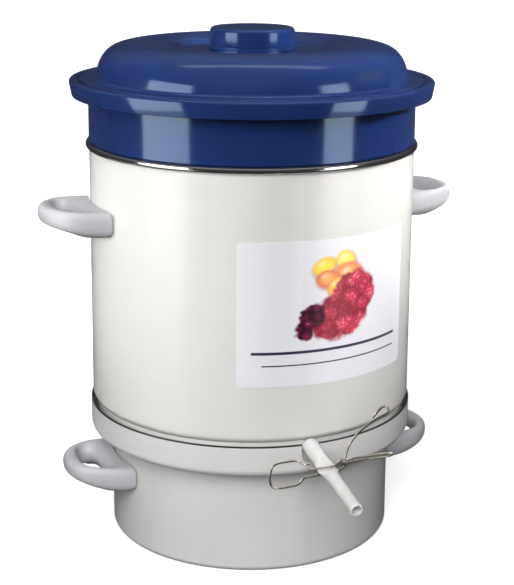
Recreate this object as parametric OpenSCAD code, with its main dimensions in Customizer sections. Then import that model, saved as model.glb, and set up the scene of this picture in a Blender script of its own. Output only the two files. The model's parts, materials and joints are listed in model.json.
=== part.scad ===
// Stove-top steam juicer: water pan, juice kettle, fruit basket and lid stacked on one axis.
// Millimetres. The origin is the middle of the pan's base, +Z is up, +Y is the back.
// Every piece is drawn where it sits in the closed, stacked set.

/* [Water pan] */
// Outer radius of the pan's wall
pan_r = 141; // [134:1:146]
// Height of the shelf that the kettle stands on
shelf_z = 105; // [95:1:108]
// Outer radius of the collar round the kettle's foot
collar_r = 162; // [160:0.5:166]
// Height of the collar's edge, the top of the pan
pan_h = 135; // [132:1:137]
// Width of the notch that the hose comes out of
notch_w = 17; // [15:0.5:22]

/* [Juice kettle] */
// Outer radius of the kettle's wall
kettle_r = 160; // [158:0.5:161]
// Outer radius of the foot that drops into the pan's collar
foot_r = 155.5; // [153:0.5:156]
// Height of the top edge of the kettle's wall
kettle_top = 392; // [380:1:400]
// Radius of the rolled steel rim
bead_r = 3.3; // [2.8:0.1:3.6]
// Height of the middle of the sloping floor
floor_z = 125; // [123:1:128]
// Radius of the steam chimney at the floor
chimney_base_r = 40; // [30:1:45]
// Radius of the steam chimney at its mouth
chimney_top_r = 22; // [15:1:28]
// Height of the chimney's mouth
chimney_top = 240; // [200:5:245]

/* [Fruit basket] */
// Radius of the collar above the kettle's rim
basket_r = 160.3; // [159:0.1:161]
// Outer radius of the drip ring
ring_r = 178.5; // [176:0.5:182]
// Height of the drip ring's lower edge
ring_z = 441; // [438:1:443]
// Height of the basket's perforated floor
basket_floor = 256; // [250:1:270]
// Number of slots round the basket's wall
slot_count = 36; // [12:6:48]

/* [Lid] */
// Radius of the brim that lies inside the drip ring
brim_r = 168.5; // [166:0.5:169]
// Radius of the round knob
knob_r = 41.5; // [30:0.5:46]
// Height of the knob above the lid
knob_h = 21.4; // [18:0.1:26]

/* [Handles] */
// Turn of the handles about the upright axis, in degrees
handle_turn = 20; // [0:0.5:25]
// Height of the kettle handles' feet
kettle_handle_z = 328; // [290:1:345]
// Height of the pan handles' feet
pan_handle_z = 71.5; // [50:0.5:80]
// How far a handle stands out from its pot
handle_reach = 54; // [48:1:60]
// Half of a handle's width
handle_half_w = 48; // [46:1:60]
// Height of a handle at its feet
handle_h = 24.6; // [20:0.2:28]

/* [Hose and clamp] */
// Turn of the juice outlet about the upright axis, in degrees
outlet_turn = -69; // [-75:0.5:-62]
// Outer diameter of the silicone hose
hose_d = 12.5; // [11:0.5:13]
// Diameter of the clamp's wire
wire_d = 2; // [1.6:0.1:2.2]

/* [Label] */
// Turn of the label's left edge, in degrees
label_turn = -94; // [-100:1:-90]
// How far the label reaches round the kettle, in degrees
label_sweep = 68; // [50:1:70]
// Height of the label's lower edge
label_z = 192; // [180:1:210]
// Height of the label
label_h = 136; // [100:1:145]

/* [Hidden] */
$fn = 96;
// Gap between pieces that lift off each other
gap = 0.3;
wall = 1.5;
base_round = 6;
collar_round = 8;
shelf_round = 3;
// The lid and its brim, stacked on the kettle's rim and the drip ring
rim_top = kettle_top + 1.3 + bead_r;
basket_wall = 2.5;
ring_top = ring_z + 16;
brim_z = ring_z + 16.4;
lid_skin = 2.5;
lid_floor = brim_z + 27.2;
knob_z = lid_floor + gap;
// Knob's washer and screw, under the lid
washer_t = 1.2;
washer_z = lid_floor - lid_skin - washer_t;
stem_r = 2.5;
// Handle: finger hole, then the wall bracket with its tabs, and the screws
hole_out = 28.5;
hole_ru = 10.5;
hole_rv = 30;
bracket_t = 1.5;
bracket_h = 14;
tab_w = 12;
tab_t = 2;
tab_end = 5;
screw_out = 11;
screw_side = 36;
screw_d = 4;
screw_len = 12.5;
head_d = 7.4;
head_h = 2.4;
// Height of the faces the screw heads bear on, from the middle of the handle
head_z = -8;
// Running clearance between a screw or tab and the plastic round it
ease = 0.2;
// Hose: the centre line runs straight down the slope from the kettle's wall
hose_tilt = 10.8;
hose_route = [
    [160, 132.5], [175, 129.7], [188, 127.2], [192, 126.5], [195.5, 125.8], [199, 125.2],
    [202, 124.6], [205, 124], [208.5, 123.4], [212, 122.7], [225, 120.2], [240, 117.4],
    [254, 114.7], [268, 112]
];
// How far the hose is pressed flat along its route, from 0 to 1, and its size where it is flat
hose_press = [0, 0, 0, 0.25, 0.65, 1, 1, 1, 0.65, 0.25, 0, 0, 0, 0];
flat_w = 18.6;
flat_h = 6.2;
clamp_at = hose_route[6];
// Spout that the hose is pushed onto
spout_d = 8.5;
spout_len = 34;
// Clamp: how far the lever's wire lies in front of the frame's, and the pin through both eyes
lever_plane = 2.8;
pivot = [13, 7];
pin_r = 1;
eye_r = 3.1;
eye_h = 2.4;
// Clamp wires, x across the hose and y up, from the middle of the pinch
frame_wire = [
    [-17.5, 8.6], [-23.5, 9.2], [-30.5, 13.8], [-40, 14.4], [-49, 13.8], [-54, 10.5], [-55.5, 0],
    [-53, -9.5], [-46, -12.6], [-34, -12.3], [-27, -11], [-22, -5.6], [-14, -4.4], [0, -4.2],
    [9, -3.8], [14.5, -0.6], [19, 3.8], [28, 5.4], [44, 5.6], [61, 5.4], [64.2, 7.1], [61, 8.8],
    [44, 9], [28, 8.6], [20, 7.2], [16, 6.8]
];
lever_wire = [
    [-19.8, 5.4], [-12, 4.6], [0, 4.3], [5, 4.9], [9, 7], [12, 9.4], [15, 11.2], [16.2, 17],
    [18.5, 26], [24, 34.5], [33, 43], [44.5, 50.5], [51, 53], [53, 57.2], [49.5, 61], [44.6, 59],
    [38.2, 50.6]
];

// Points on an arc round a centre, in degrees.
function arc(cx, cy, r, a0, a1, n = 8) =
    [for (i = [0:n]) let (a = a0 + (a1 - a0) * i / n) [cx + r * cos(a), cy + r * sin(a)]];

// Points on a cubic curve from a to d, without its first point.
function curve(a, b, c, d, n = 12) =
    [for (i = [1:n]) let (t = i / n, s = 1 - t)
        s * s * s * a + 3 * s * s * t * b + 3 * s * t * t * c + t * t * t * d];

function signed_pow(x, p) = sign(x) * pow(abs(x), p);

// Point of a spline that passes through all its control points.
function spline_point(p, i, t) =
    let (n = len(p) - 1, a = p[max(i - 1, 0)], b = p[i], c = p[i + 1], d = p[min(i + 2, n)])
    0.5 * (2 * b + (c - a) * t + (2 * a - 5 * b + 4 * c - d) * t * t
        + (3 * b - a - 3 * c + d) * t * t * t);

function spline(p, steps) = concat(
    [for (i = [0:len(p) - 2]) for (k = [0:steps - 1]) spline_point(p, i, k / steps)],
    [p[len(p) - 1]]);

// Direction of a flat path at one of its points.
function heading(p, i) =
    let (d = p[min(i + 1, len(p) - 1)] - p[max(i - 1, 0)]) d / norm(d);

// Oval rod along a flat path: half_across lies in the plane of the path, half_out stands out of it.
module rod(path, half_across, half_out, sides) {
    n = len(path);
    points = [for (i = [0:n - 1]) for (k = [0:sides - 1])
        let (h = heading(path, i), q = 360 * k / sides, s = half_across[i] * cos(q))
        [path[i][0] - h[1] * s, path[i][1] + h[0] * s, half_out[i] * sin(q)]];
    skin = [for (i = [0:n - 2]) for (k = [0:sides - 1])
        let (a = i * sides + k, b = i * sides + (k + 1) % sides, c = a + sides, d = b + sides)
        each [[a, d, b], [a, c, d]]];
    start = [for (k = [0:sides - 1]) k];
    end = [for (k = [0:sides - 1]) n * sides - 1 - k];
    polyhedron(points, concat(skin, [start, end]), convexity = 6);
}

// Places children in the clamp's plane, square to the hose at the pinch.
module at_clamp() {
    rotate([0, 0, outlet_turn])
        translate([clamp_at[0], 0, clamp_at[1]])
            rotate([0, 90 + hose_tilt, 0])
                rotate([0, 0, 90])
                    children();
}

// Places children on a handle's foot line, x outwards and y along the wall.
module at_handle(turn, z) {
    rotate([0, 0, turn])
        translate([0, 0, z])
            children();
}

module water_pan() {
    under = shelf_z - wall;
    inner = collar_round - wall;
    edge = wall / 2;
    color("whitesmoke")
        difference() {
            rotate_extrude()
                polygon(concat(
                    [[0, wall], [0, 0]],
                    arc(pan_r - base_round, base_round, base_round, -90, 0),
                    arc(pan_r + shelf_round, under - shelf_round, shelf_round, 180, 90, 5),
                    arc(collar_r - collar_round, under + collar_round, collar_round, -90, 0),
                    arc(collar_r - edge, pan_h - edge, edge, 0, 180, 6),
                    arc(collar_r - collar_round, under + collar_round, inner, 0, -90),
                    arc(pan_r + shelf_round, under - shelf_round, shelf_round + wall, 90, 180, 5),
                    arc(pan_r - base_round, base_round, base_round - wall, 0, -90)
                ));
            // U-shaped notch for the hose
            rotate([0, 0, outlet_turn])
                translate([collar_r - 10, 0, pan_h - 19 + notch_w / 2]) {
                    rotate([0, 90, 0])
                        cylinder(d = notch_w, h = 20);
                    translate([0, -notch_w / 2, 0])
                        cube([20, notch_w, 30]);
                }
        }
}

module juice_kettle() {
    corner = 8;
    corner_z = pan_h + 9;
    bend = acos((foot_r - kettle_r + corner) / corner);
    knee = corner_z - corner * sin(bend);
    stand_z = shelf_z + gap;
    color("whitesmoke")
        difference() {
            rotate_extrude()
                polygon(concat(
                    [[foot_r - 3.5, stand_z]],
                    arc(foot_r - wall, stand_z + wall, wall, -90, 0, 4),
                    [[foot_r, knee]],
                    arc(kettle_r - corner, corner_z, corner, -bend, 0),
                    [[kettle_r, kettle_top], [kettle_r - wall, kettle_top]],
                    arc(kettle_r - corner, corner_z, corner - wall, 0, -bend),
                    [
                        [foot_r - wall, knee], [foot_r - wall, floor_z - 1], [foot_r - 4, floor_z - 2.5],
                        [60, floor_z], [chimney_base_r, floor_z], [chimney_base_r, floor_z - wall],
                        [60, floor_z - wall], [foot_r - 4, floor_z - 2.5 - wall],
                        [foot_r - wall, floor_z - 2.5 - wall], [foot_r - wall, stand_z + wall],
                        [foot_r - 3.5, stand_z + wall]
                    ]
                ));
            // Drain hole that the spout is welded into
            spout_axis()
                cylinder(d = spout_d, h = 14);
        }
}

// Places children on the spout's axis, z outwards, starting inside the kettle's wall.
module spout_axis() {
    rotate([0, 0, outlet_turn])
        translate([hose_route[0][0] - 8, 0, hose_route[0][1] + 8 * tan(hose_tilt)])
            rotate([0, 90 + hose_tilt, 0])
                children();
}

module juice_spout() {
    color("silver")
        spout_axis()
            difference() {
                union() {
                    cylinder(d = spout_d, h = spout_len);
                    // Barb that holds the hose
                    translate([0, 0, spout_len - 3.5])
                        cylinder(d = spout_d + 0.6, h = 2);
                }
                translate([0, 0, -1])
                    cylinder(d = spout_d - 2, h = spout_len + 2);
            }
}

module kettle_rim_ring() {
    color("lightgray")
        rotate_extrude()
            difference() {
                translate([kettle_r + 0.2, rim_top - bead_r])
                    circle(r = bead_r, $fn = 40);
                translate([kettle_r - wall, kettle_top - 12])
                    square([wall, 12]);
            }
}

module steam_chimney() {
    skin = 1.2;
    color("whitesmoke")
        rotate_extrude()
            polygon([
                [chimney_base_r - skin, floor_z], [chimney_base_r + 9, floor_z],
                [chimney_base_r + 9, floor_z + skin], [chimney_base_r + 1, floor_z + skin],
                [chimney_top_r + skin, chimney_top - 3], [chimney_top_r + skin + 1, chimney_top - 2],
                [chimney_top_r + skin + 1, chimney_top], [chimney_top_r, chimney_top],
                [chimney_top_r, chimney_top - 3]
            ]);
}

module bracket(r, turn, z) {
    half_w = handle_half_w - 6;
    color("silver")
        at_handle(turn, z)
            difference() {
                union() {
                    intersection() {
                        difference() {
                            translate([0, 0, -bracket_h / 2])
                                cylinder(r = r + bracket_t, h = bracket_h);
                            translate([0, 0, -bracket_h])
                                cylinder(r = r, h = 2 * bracket_h);
                        }
                        translate([r / 2, -half_w, -bracket_h])
                            cube([r, 2 * half_w, 2 * bracket_h]);
                    }
                    // Tabs that reach into the handle's feet
                    for (side = [-1, 1])
                        difference() {
                            translate([r - tab_w, side * screw_side - tab_w / 2, -tab_t / 2])
                                cube([tab_w + screw_out + tab_end, tab_w, tab_t]);
                            translate([0, 0, -tab_t])
                                cylinder(r = r, h = 2 * tab_t);
                        }
                }
                for (side = [-1, 1])
                    translate([r + screw_out, side * screw_side, -tab_t])
                        cylinder(d = screw_d + ease, h = 2 * tab_t);
            }
}

// One slice through the moulded handle, from the finger hole's edge to the outline.
function handle_slice(r, t, sides) =
    let (
        round_out = 2 / 2.25,
        round_hole = 2 / 2.4,
        round_slice = 2 / (cos(t) > 0 ? 2.6 : 2 + 0.6 * abs(sin(t))),
        back = 6,
        out = max(cos(t), 0),
        reach = cos(t) > 0 ? handle_reach + back : 26,
        outer = [r - back + reach * signed_pow(cos(t), round_out),
            handle_half_w * signed_pow(sin(t), round_out)],
        hole = [r + hole_out + hole_ru * signed_pow(cos(t), round_hole),
            hole_rv * signed_pow(sin(t), round_hole)],
        middle = (outer + hole) / 2,
        half = (outer - hole) / 2,
        half_h = handle_h / 2 - 4.1 * out,
        lift = 5.5 * out
    )
    [for (k = [0:sides - 1]) let (
        q = 360 * k / sides,
        p = middle + half * signed_pow(cos(q), round_slice)
    ) [p[0], p[1], lift + half_h * signed_pow(sin(q), round_slice)]];

module handle_body(r) {
    turns = 48;
    sides = 14;
    points = [for (i = [0:turns - 1]) each handle_slice(r, 360 * i / turns, sides)];
    faces = [for (i = [0:turns - 1]) for (k = [0:sides - 1])
        let (
            j = (i + 1) % turns,
            m = (k + 1) % sides,
            a = i * sides + k,
            b = i * sides + m,
            c = j * sides + m,
            d = j * sides + k
        )
        each [[a, b, c], [a, c, d]]];
    polyhedron(points, faces, convexity = 6);
}

module handle(r, turn, z) {
    slot_w = tab_w + 2 * ease;
    slot_t = tab_t + 2 * ease;
    color("darkgray")
        at_handle(turn, z)
            difference() {
                handle_body(r);
                translate([0, 0, -handle_h])
                    cylinder(r = r + bracket_t, h = 2 * handle_h);
                for (side = [-1, 1]) {
                    translate([r - tab_w, side * screw_side - slot_w / 2, -slot_t / 2])
                        cube([tab_w + screw_out + tab_end + ease, slot_w, slot_t]);
                    // Well for the head, then the hole for the shank
                    translate([r + screw_out, side * screw_side, -handle_h + head_z])
                        cylinder(d = head_d + 2 * ease, h = handle_h);
                    translate([r + screw_out, side * screw_side, head_z - 1])
                        cylinder(d = screw_d + ease, h = screw_len + 1.5);
                }
            }
}

module screws(r, z) {
    slot_w = 1;
    slot_h = 1;
    color("silver")
        for (turn = [handle_turn, handle_turn + 180])
            for (side = [-1, 1])
                at_handle(turn, z)
                    translate([r + screw_out, side * screw_side, head_z])
                        difference() {
                            union() {
                                translate([0, 0, -head_h])
                                    cylinder(d = head_d, h = head_h);
                                cylinder(d = screw_d, h = screw_len);
                            }
                            translate([-head_d, -slot_w / 2, slot_h - 2 * head_h])
                                cube([2 * head_d, slot_w, head_h]);
                        }
}

module label() {
    color("white")
        rotate([0, 0, label_turn])
            rotate_extrude(angle = label_sweep)
                translate([kettle_r, label_z])
                    square([0.35, label_h]);
}

module juice_hose() {
    half_h = [for (press = hose_press) hose_d / 2 + press * (flat_h - hose_d) / 2];
    half_w = [for (press = hose_press) hose_d / 2 + press * (flat_w - hose_d) / 2];
    color("ivory")
        rotate([0, 0, outlet_turn])
            rotate([90, 0, 0])
                rod(hose_route, half_h, half_w, 12);
}

module wire(points, steps = 3) {
    path = spline(points, steps);
    half = [for (p = path) wire_d / 2];
    rod(path, half, half, 8);
}

// Round eye on the clamp's pin, joined to a wire.
module eye(bore_r) {
    difference() {
        union() {
            children();
            translate([pivot[0], pivot[1], -eye_h / 2])
                cylinder(r = eye_r, h = eye_h);
        }
        translate([pivot[0], pivot[1], -eye_h])
            cylinder(r = bore_r, h = 2 * eye_h);
    }
}

module clamp_frame() {
    color("silver")
        at_clamp()
            eye(pin_r + 0.05)
                wire(frame_wire);
}

module clamp_pin() {
    head_h = 0.8;
    low = -eye_h / 2 - 0.3;
    high = lever_plane + eye_h / 2 + 0.3;
    color("silver")
        at_clamp()
            translate([pivot[0], pivot[1], low]) {
                cylinder(r = pin_r, h = high - low);
                translate([0, 0, -head_h])
                    cylinder(r = 2 * pin_r, h = head_h);
                translate([0, 0, high - low])
                    cylinder(r = 2 * pin_r, h = head_h);
            }
}

module clamp_lever() {
    color("silver")
        at_clamp()
            translate([0, 0, lever_plane])
                eye(pin_r + 0.08)
                    wire(lever_wire);
}

module fruit_basket() {
    floor_t = 2;
    floor_round = 6;
    inner_round = floor_round - floor_t;
    top_r = 150;
    foot = 140;
    slot_w = 3.5;
    slot_h = 90;
    hole_d = 6;
    hole_rings = 4;
    ring_step = 29;
    step_z = rim_top + gap;
    ledge = brim_z - 2.8;
    under = ledge - basket_wall;
    color("midnightblue")
        difference() {
            rotate_extrude()
                polygon(concat(
                    [[0, basket_floor + floor_t], [0, basket_floor]],
                    arc(foot - floor_round, basket_floor + floor_round, floor_round, -90, 0, 5),
                    [[top_r, step_z - 3], [top_r + 1, step_z], [basket_r - 0.5, step_z]],
                    [[basket_r, step_z + 0.5]],
                    arc(basket_r + 2, under - 2, 2, 180, 90, 4),
                    arc(ring_r - 6.5, under - 2, 2, 90, 0, 4),
                    [[ring_r - 4.9, ring_z], [ring_r - 2.6, ring_z], [ring_r - 2.2, ring_z + 0.6]],
                    [[ring_r, ring_top - 5]],
                    arc(ring_r - 3, ring_top - 3, 3, 0, 90, 6),
                    arc(ring_r - 6.5, ring_top - 1.5, 1.5, 90, 180, 4),
                    [
                        [ring_r - 8, ledge], [basket_r - basket_wall, ledge],
                        [basket_r - basket_wall, step_z + basket_wall],
                        [top_r - 2, step_z + basket_wall - 0.5]
                    ],
                    arc(foot - floor_round, basket_floor + floor_round, inner_round, 0, -90, 5)
                ));
            for (i = [0:slot_count - 1])
                rotate([0, 0, 360 * (i + 0.5) / slot_count])
                    translate([foot - 15, -slot_w / 2, basket_floor + 22])
                        cube([30, slot_w, slot_h]);
            for (ring = [1:hole_rings])
                for (i = [0:ring * 8 - 1])
                    rotate([0, 0, 360 * i / (ring * 8)])
                        translate([ring * ring_step, 0, basket_floor - floor_t])
                            cylinder(d = hole_d, h = 3 * floor_t);
        }
}

module lid_shell() {
    skin = lid_skin;
    top = lid_floor;
    color("navy")
        rotate_extrude()
            polygon(concat(
                [[stem_r + gap, top - skin], [stem_r + gap, top], [72, top]],
                curve([72, top], [75, top], [75, top + 3], [78, top + 3.6], 6),
                curve([78, top + 3.6], [92, top + 7.6], [120, top + 9.6], [135.5, top + 2.8]),
                curve([135.5, top + 2.8], [144.5, top - 1.4], [150.5, top - 11], [152.3, brim_z + 3]),
                arc(155.3, brim_z + 3, 3, 180, 270, 4),
                arc(brim_r - skin / 2, brim_z - skin / 2, skin / 2, 90, -90, 6),
                [[155, brim_z - skin], [155, brim_z - 11], [152.5, brim_z - 11], [152.5, brim_z - skin]],
                [[149.8, brim_z + 1]],
                curve([149.8, brim_z + 1], [149, top - 11.5], [142, top - 3.8], [134.2, top + 0.4]),
                curve([134.2, top + 0.4], [119.5, top + 7], [93, top + 5.2], [79, top + 1.2]),
                curve([79, top + 1.2], [76.5, top + 0.5], [77, top - skin], [73, top - skin], 6)
            ));
}

module lid_knob() {
    top = knob_z + knob_h;
    color("navy")
        rotate_extrude()
            polygon(concat(
                [[2.6, knob_z], [8, knob_z], [8, top - 3.5]],
                arc(knob_r - 7, top - 7.5, 4, 90, 0, 4),
                [[knob_r - 2.2, knob_z], [knob_r + 0.9, knob_z], [knob_r + 0.6, knob_z + 3.2]],
                [[knob_r - 0.5, knob_z + 3.6], [knob_r - 0.5, knob_z + 4.4], [knob_r, knob_z + 4.8]],
                arc(knob_r - 4, top - 4, 3.8, 0, 90, 6),
                [[0, top - 0.8], [0, top - 7], [2.6, top - 7]]
            ));
}

module knob_washer() {
    color("silver")
        translate([0, 0, washer_z])
            difference() {
                cylinder(r = 9, h = washer_t);
                translate([0, 0, -washer_t])
                    cylinder(r = stem_r + gap, h = 3 * washer_t);
            }
}

module knob_screw() {
    cap_r = 4.6;
    cap_h = 2.6;
    slot_w = 1.2;
    slot_h = 1.2;
    color("silver")
        translate([0, 0, washer_z])
            difference() {
                union() {
                    translate([0, 0, -cap_h])
                        cylinder(r = cap_r, h = cap_h);
                    cylinder(r = stem_r, h = 16);
                }
                translate([-cap_r - 1, -slot_w / 2, slot_h - 2 * cap_h])
                    cube([2 * cap_r + 2, slot_w, cap_h]);
            }
}

water_pan();
bracket(pan_r, handle_turn + 180, pan_handle_z);  // pan_bracket_left
bracket(pan_r, handle_turn, pan_handle_z);  // pan_bracket_right
handle(pan_r, handle_turn + 180, pan_handle_z);  // pan_handle_left
handle(pan_r, handle_turn, pan_handle_z);  // pan_handle_right
screws(pan_r, pan_handle_z);  // pan_handle_screws
juice_kettle();
kettle_rim_ring();
steam_chimney();
juice_spout();
bracket(kettle_r, handle_turn + 180, kettle_handle_z);  // kettle_bracket_left
bracket(kettle_r, handle_turn, kettle_handle_z);  // kettle_bracket_right
handle(kettle_r, handle_turn + 180, kettle_handle_z);  // kettle_handle_left
handle(kettle_r, handle_turn, kettle_handle_z);  // kettle_handle_right
screws(kettle_r, kettle_handle_z);  // kettle_handle_screws
label();
juice_hose();
clamp_frame();
clamp_pin();
clamp_lever();
fruit_basket();
lid_shell();
lid_knob();
knob_washer();
knob_screw();
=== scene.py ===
"""Looks of the stacked steam juicer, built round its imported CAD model.

Profiles and routes are in millimetres, as in the CAD source, and become metres when a mesh is made.
"""

import json
import math

import bpy
import bmesh
import numpy as np
from mathutils import Matrix, Vector

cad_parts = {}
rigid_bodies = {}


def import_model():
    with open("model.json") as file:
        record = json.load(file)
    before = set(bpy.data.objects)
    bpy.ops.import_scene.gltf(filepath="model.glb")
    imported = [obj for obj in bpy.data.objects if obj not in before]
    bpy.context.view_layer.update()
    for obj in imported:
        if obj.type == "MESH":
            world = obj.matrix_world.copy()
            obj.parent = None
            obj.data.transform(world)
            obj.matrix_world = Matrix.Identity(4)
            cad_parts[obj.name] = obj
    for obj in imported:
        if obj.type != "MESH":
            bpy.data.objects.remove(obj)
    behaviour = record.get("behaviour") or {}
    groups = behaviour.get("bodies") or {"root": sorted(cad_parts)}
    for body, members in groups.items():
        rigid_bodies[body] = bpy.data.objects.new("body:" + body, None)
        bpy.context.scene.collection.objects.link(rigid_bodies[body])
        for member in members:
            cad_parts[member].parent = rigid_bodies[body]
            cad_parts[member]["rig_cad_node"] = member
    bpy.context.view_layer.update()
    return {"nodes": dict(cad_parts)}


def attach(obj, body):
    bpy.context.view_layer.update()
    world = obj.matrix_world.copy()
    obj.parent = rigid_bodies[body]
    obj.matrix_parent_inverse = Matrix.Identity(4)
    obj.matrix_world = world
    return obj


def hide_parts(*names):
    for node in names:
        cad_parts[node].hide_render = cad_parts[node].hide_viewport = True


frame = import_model()
MM = 0.001

# ---------------------------------------------------------------- sizes shared with the CAD model
PAN_R, SHELF_Z, COLLAR_R, PAN_H = 141, 105, 162, 135
KETTLE_R, FOOT_R, KETTLE_TOP, BEAD_R, FLOOR_Z = 160, 155.5, 392, 3.3, 125
RIM_TOP = KETTLE_TOP + 1.3 + BEAD_R
CHIMNEY_BASE_R, CHIMNEY_TOP_R, CHIMNEY_TOP = 40, 22, 240
BASKET_R, RING_R, RING_Z, BASKET_FLOOR = 160.3, 178.5, 441, 256
RING_TOP, BRIM_Z = RING_Z + 16, RING_Z + 16.4
BRIM_R, LID_FLOOR = 168.5, BRIM_Z + 27.2
KNOB_R, KNOB_Z, KNOB_H = 41.5, LID_FLOOR + 0.3, 21.4
WALL, PLASTIC, GAP = 1.5, 2.5, 0.3
OUTLET_TURN, HOSE_TILT, NOTCH_W = -69, 10.8, 17
HANDLE_TURN, KETTLE_HANDLE_Z, PAN_HANDLE_Z = 20, 328, 71.5
HANDLE_REACH, HANDLE_HALF_W, HANDLE_H, BRACKET_T = 54, 48, 24.6, 1.5
LABEL_TURN, LABEL_SWEEP, LABEL_Z, LABEL_H = -94, 68, 192, 136
LABEL_R = KETTLE_R + 0.35


# ---------------------------------------------------------------- camera
def make_camera():
    """Long lens, looking down a little from the front."""
    data = bpy.data.cameras.new("camera")
    data.lens = 89.73
    data.sensor_width = 36
    data.shift_x, data.shift_y = -0.02, -0.12
    data.clip_start, data.clip_end = 0.05, 60
    camera = bpy.data.objects.new("camera", data)
    bpy.context.scene.collection.objects.link(camera)
    pitch, roll = 0.223, 0.009
    forward = Vector((0, math.cos(pitch), -math.sin(pitch)))
    right = Vector((1, 0, 0))
    up = right.cross(forward)
    turned_right = math.cos(roll) * right + math.sin(roll) * up
    turned_up = -math.sin(roll) * right + math.cos(roll) * up
    rotation = Matrix((turned_right, turned_up, -forward)).transposed()
    place = Vector((0.01745, -1.42572, 0.63412))
    camera.matrix_world = Matrix.Translation(place) @ rotation.to_4x4()
    bpy.context.scene.camera = camera


make_camera()


# ---------------------------------------------------------------- mesh helpers
def arc(cx, cy, r, a0, a1, n=10):
    """Points on an arc round a centre, in degrees."""
    turns = [math.radians(a0 + (a1 - a0) * i / n) for i in range(n + 1)]
    return [(cx + r * math.cos(a), cy + r * math.sin(a)) for a in turns]


def curve(a, b, c, d, n=24):
    """Points on a cubic curve from a to d, without its first point."""
    points = []
    for i in range(1, n + 1):
        t = i / n
        s = 1 - t
        k = (s * s * s, 3 * s * s * t, 3 * s * t * t, t * t * t)
        points.append(tuple(sum(w * p[j] for w, p in zip(k, (a, b, c, d))) for j in (0, 1)))
    return points


def new_object(name, vertices, faces, sharp_deg=35):
    """Smooth-shaded object from points in millimetres, with edges sharper than sharp_deg kept."""
    mesh = bpy.data.meshes.new(name)
    mesh.from_pydata([tuple(c * MM for c in v) for v in vertices], [], faces)
    mesh.validate()
    mesh.polygons.foreach_set("use_smooth", [True] * len(mesh.polygons))
    mesh.set_sharp_from_angle(angle=math.radians(sharp_deg))
    piece = bpy.data.objects.new(name, mesh)
    bpy.context.scene.collection.objects.link(piece)
    return piece


def lathe(name, profile, segments=288, sharp_deg=35):
    """Closed profile of (radius, height) turned about the upright axis; radius 0 makes a pole."""
    clean = [p for i, p in enumerate(profile) if math.dist(p, profile[i - 1]) > 1e-4]
    vertices, rows = [], []
    for r, z in clean:
        if r < 1e-6:
            rows.append([len(vertices)] * segments)
            vertices.append((0, 0, z))
            continue
        rows.append(list(range(len(vertices), len(vertices) + segments)))
        for k in range(segments):
            a = 2 * math.pi * k / segments
            vertices.append((r * math.cos(a), r * math.sin(a), z))
    faces = []
    for i, low in enumerate(rows):
        high = rows[(i + 1) % len(rows)]
        if low[0] == low[1] and high[0] == high[1]:
            continue
        for k in range(segments):
            m = (k + 1) % segments
            ring = [low[k], low[m], high[m], high[k]]
            faces.append(list(dict.fromkeys(ring)))
    piece = new_object(name, vertices, faces, sharp_deg)
    face_out(piece)
    return piece


def face_out(piece):
    """Turns all faces outwards."""
    work = bmesh.new()
    work.from_mesh(piece.data)
    bmesh.ops.recalc_face_normals(work, faces=work.faces)
    work.to_mesh(piece.data)
    work.free()


def cut(piece, cutter, sharp_deg=35):
    """Takes the cutter out of the piece for good."""
    modifier = piece.modifiers.new("cut", "BOOLEAN")
    modifier.operation = "DIFFERENCE"
    modifier.solver = "MANIFOLD"
    modifier.object = cutter
    graph = bpy.context.evaluated_depsgraph_get()
    made = bpy.data.meshes.new_from_object(piece.evaluated_get(graph))
    piece.modifiers.clear()
    old, piece.data = piece.data, made
    bpy.data.meshes.remove(old)
    bpy.data.objects.remove(cutter)
    made.polygons.foreach_set("use_smooth", [True] * len(made.polygons))
    made.set_sharp_from_angle(angle=math.radians(sharp_deg))


def merged(name, parts, sharp_deg=35):
    """One object from several (vertices, faces) lists."""
    vertices, faces = [], []
    for points, loops in parts:
        start = len(vertices)
        vertices += points
        faces += [[start + i for i in f] for f in loops]
    piece = new_object(name, vertices, faces, sharp_deg)
    face_out(piece)
    return piece


def prism(outline, z0, z1):
    """Upright prism over a flat outline, as (vertices, faces)."""
    n = len(outline)
    points = [(x, y, z0) for x, y in outline] + [(x, y, z1) for x, y in outline]
    sides = [[i, (i + 1) % n, n + (i + 1) % n, n + i] for i in range(n)]
    return points, sides + [list(range(n))[::-1], [n + i for i in range(n)]]


def turned(points, degrees):
    """Points turned about the upright axis."""
    c, s = math.cos(math.radians(degrees)), math.sin(math.radians(degrees))
    return [(c * x - s * y, s * x + c * y, z) for x, y, z in points]


def tube(rings, closed=False):
    """Skin over rings of equal length, as (vertices, faces), with flat ends unless it is closed."""
    n, sides = len(rings), len(rings[0])
    faces = []
    for i in range(n if closed else n - 1):
        j = (i + 1) % n
        for k in range(sides):
            m = (k + 1) % sides
            faces.append([i * sides + k, i * sides + m, j * sides + m, j * sides + k])
    if not closed:
        faces += [list(range(sides))[::-1], [(n - 1) * sides + k for k in range(sides)]]
    return [p for ring in rings for p in ring], faces


def spline(points, steps):
    """Catmull-Rom curve through all the points."""
    p = [np.array(q, float) for q in points]
    out = []
    for i in range(len(p) - 1):
        a, b, c, d = p[max(i - 1, 0)], p[i], p[i + 1], p[min(i + 2, len(p) - 1)]
        for k in range(steps):
            t = k / steps
            out.append(0.5 * (2 * b + (c - a) * t + (2 * a - 5 * b + 4 * c - d) * t * t
                              + (3 * b - a - 3 * c + d) * t ** 3))
    return out + [p[-1]]


# ---------------------------------------------------------------- hose, made first
HOSE_ROUTE = [(160, 132.5), (175, 129.7), (188, 127.2), (192, 126.5), (195.5, 125.8), (199, 125.2),
              (202, 124.6), (205, 124), (208.5, 123.4), (212, 122.7), (225, 120.2), (240, 117.4),
              (254, 114.7), (268, 112)]
HOSE_PRESS = [0, 0, 0, 0.25, 0.65, 1, 1, 1, 0.65, 0.25, 0, 0, 0, 0]
HOSE_D, HOSE_WALL, FLAT_W, FLAT_H, HOSE_SWELL = 12.5, 2.0, 18.6, 6.2, 2.2


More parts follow.
